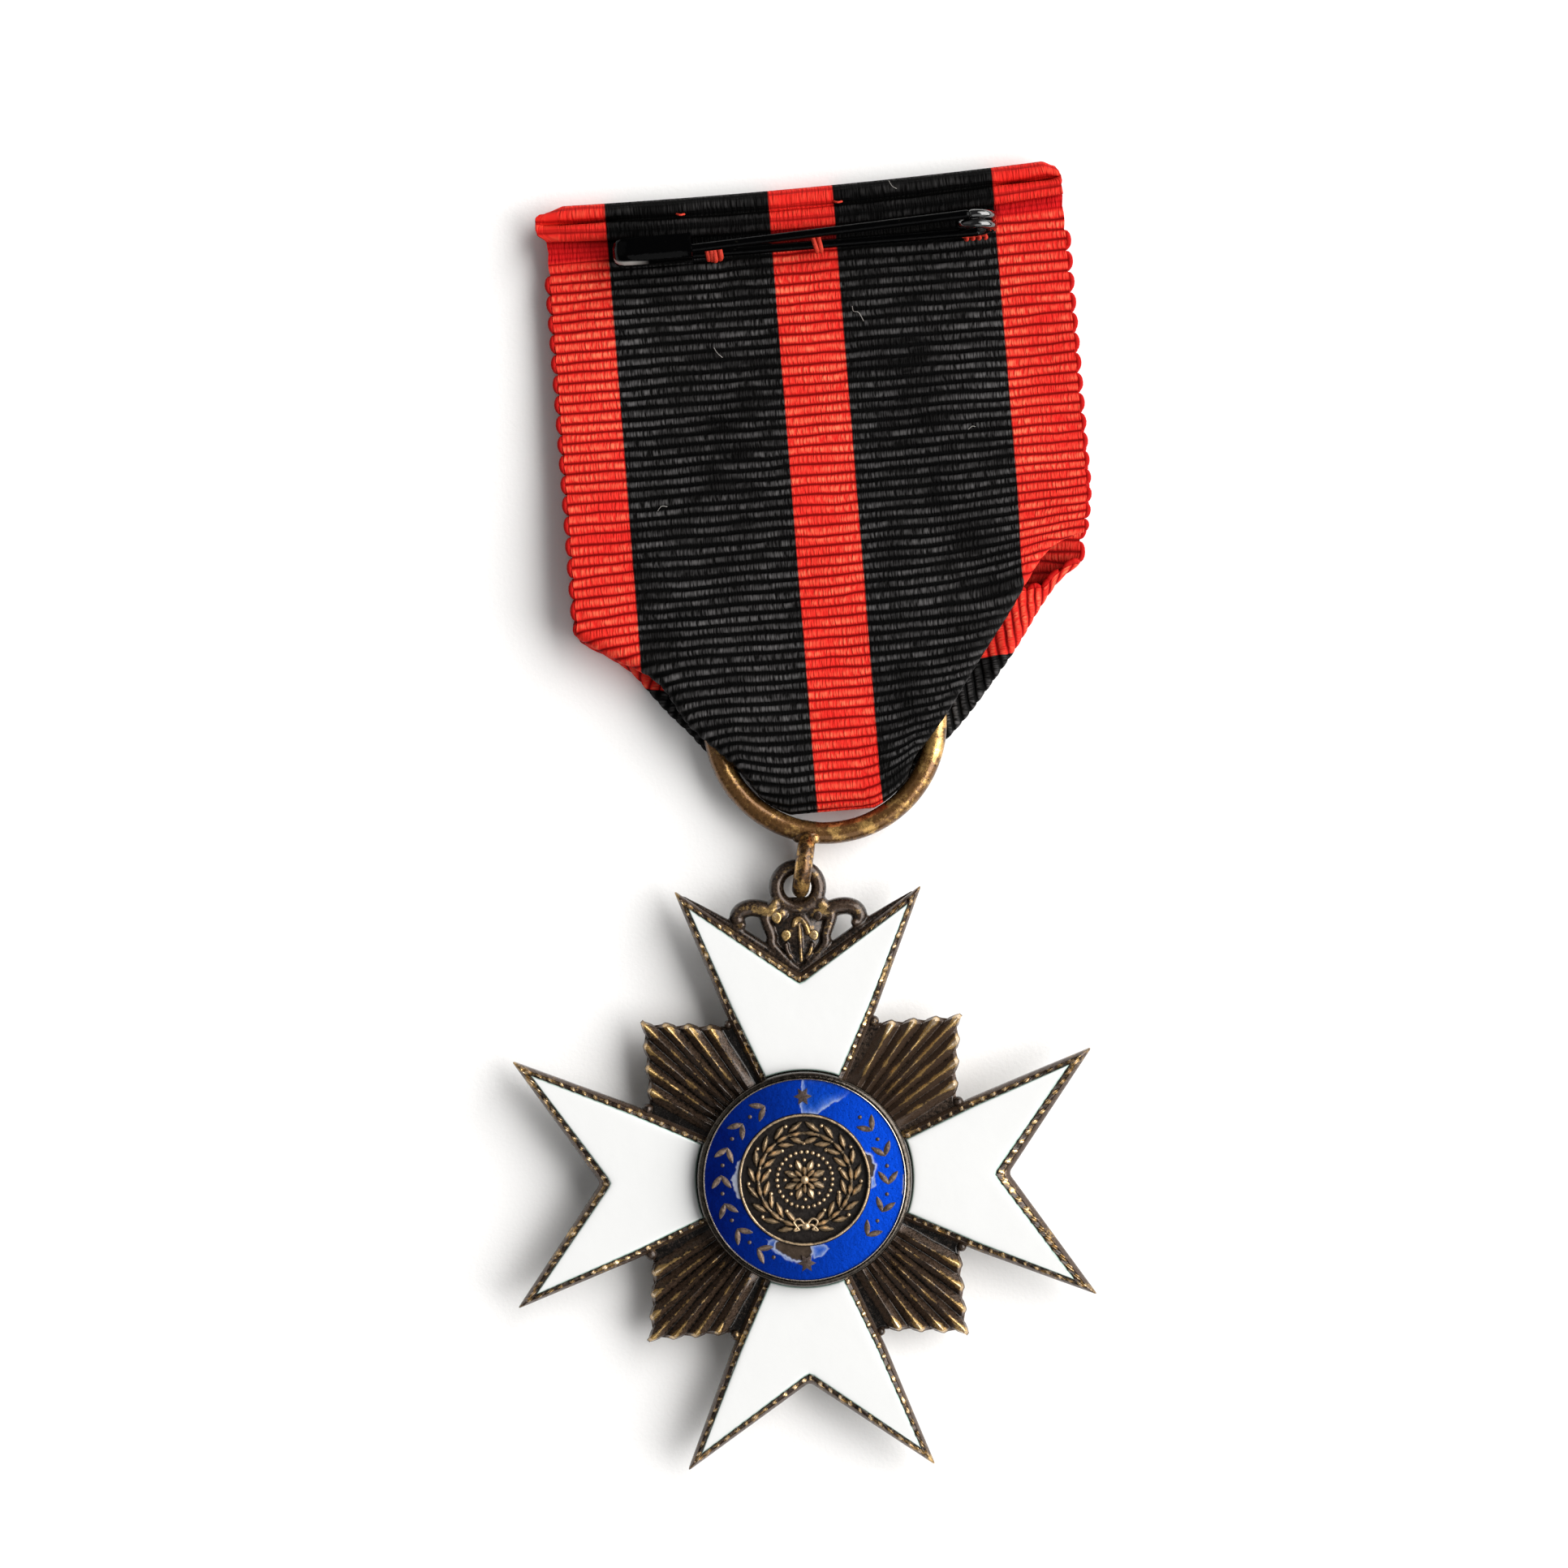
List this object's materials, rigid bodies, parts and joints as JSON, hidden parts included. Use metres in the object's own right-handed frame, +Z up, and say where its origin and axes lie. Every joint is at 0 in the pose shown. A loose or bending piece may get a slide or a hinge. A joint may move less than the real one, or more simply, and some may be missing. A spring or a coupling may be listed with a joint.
{
  "type": "order badge",
  "caption": "Eight-pointed white enamel knight's cross with rays and a blue-ringed medallion, on a ring and a folded striped ribbon with a safety pin, lying back side up.",
  "frame": {"origin": "on the surface the badge lies on, under the middle of the cross, at the middle of the front medallion's flat face", "axes": "+Z up out of the side that shows (the back of the badge), +Y along the cross towards the ribbon, +X to the right in the picture"},
  "size_m": [0.0432, 0.0942, 0.0061],
  "materials": {
    "ribbon_cloth": "ribbed silk ribbon, red and black stripes",
    "gilt_ring": "worn gilt wire with dark tarnish",
    "dark_gilt": "darkened silver-gilt, gold on the worn crests",
    "medallion_gilt": "darkened silver-gilt with brighter relief",
    "white_enamel": "glossy opaque enamel",
    "blue_enamel": "glossy translucent enamel, chipped",
    "black_lacquer": "glossy black lacquer"
  },
  "bodies": {
    "badge": {"ribbon": "ribbon_cloth", "ribbon_ring": "gilt_ring", "cross_frame": "dark_gilt", "enamel_back_1": "white_enamel", "enamel_back_2": "white_enamel", "enamel_back_3": "white_enamel", "enamel_back_4": "white_enamel", "enamel_front_1": "white_enamel", "enamel_front_2": "white_enamel", "enamel_front_3": "white_enamel", "enamel_front_4": "white_enamel", "medallion_back": "medallion_gilt", "blue_enamel": "blue_enamel", "medallion_front": "medallion_gilt", "pin_wire": "black_lacquer", "pin_cap": "black_lacquer"},
    "needle": {"pin_needle": "black_lacquer"}
  },
  "joints": [
    {"name": "needle_open", "type": "hinge", "parent": "badge", "child": "needle", "pos_m": [0.01332, 0.06923, 0.00552], "axis": [-0.0097, 0.1734, -0.9848], "range_deg": [0, 25]}
  ]
}
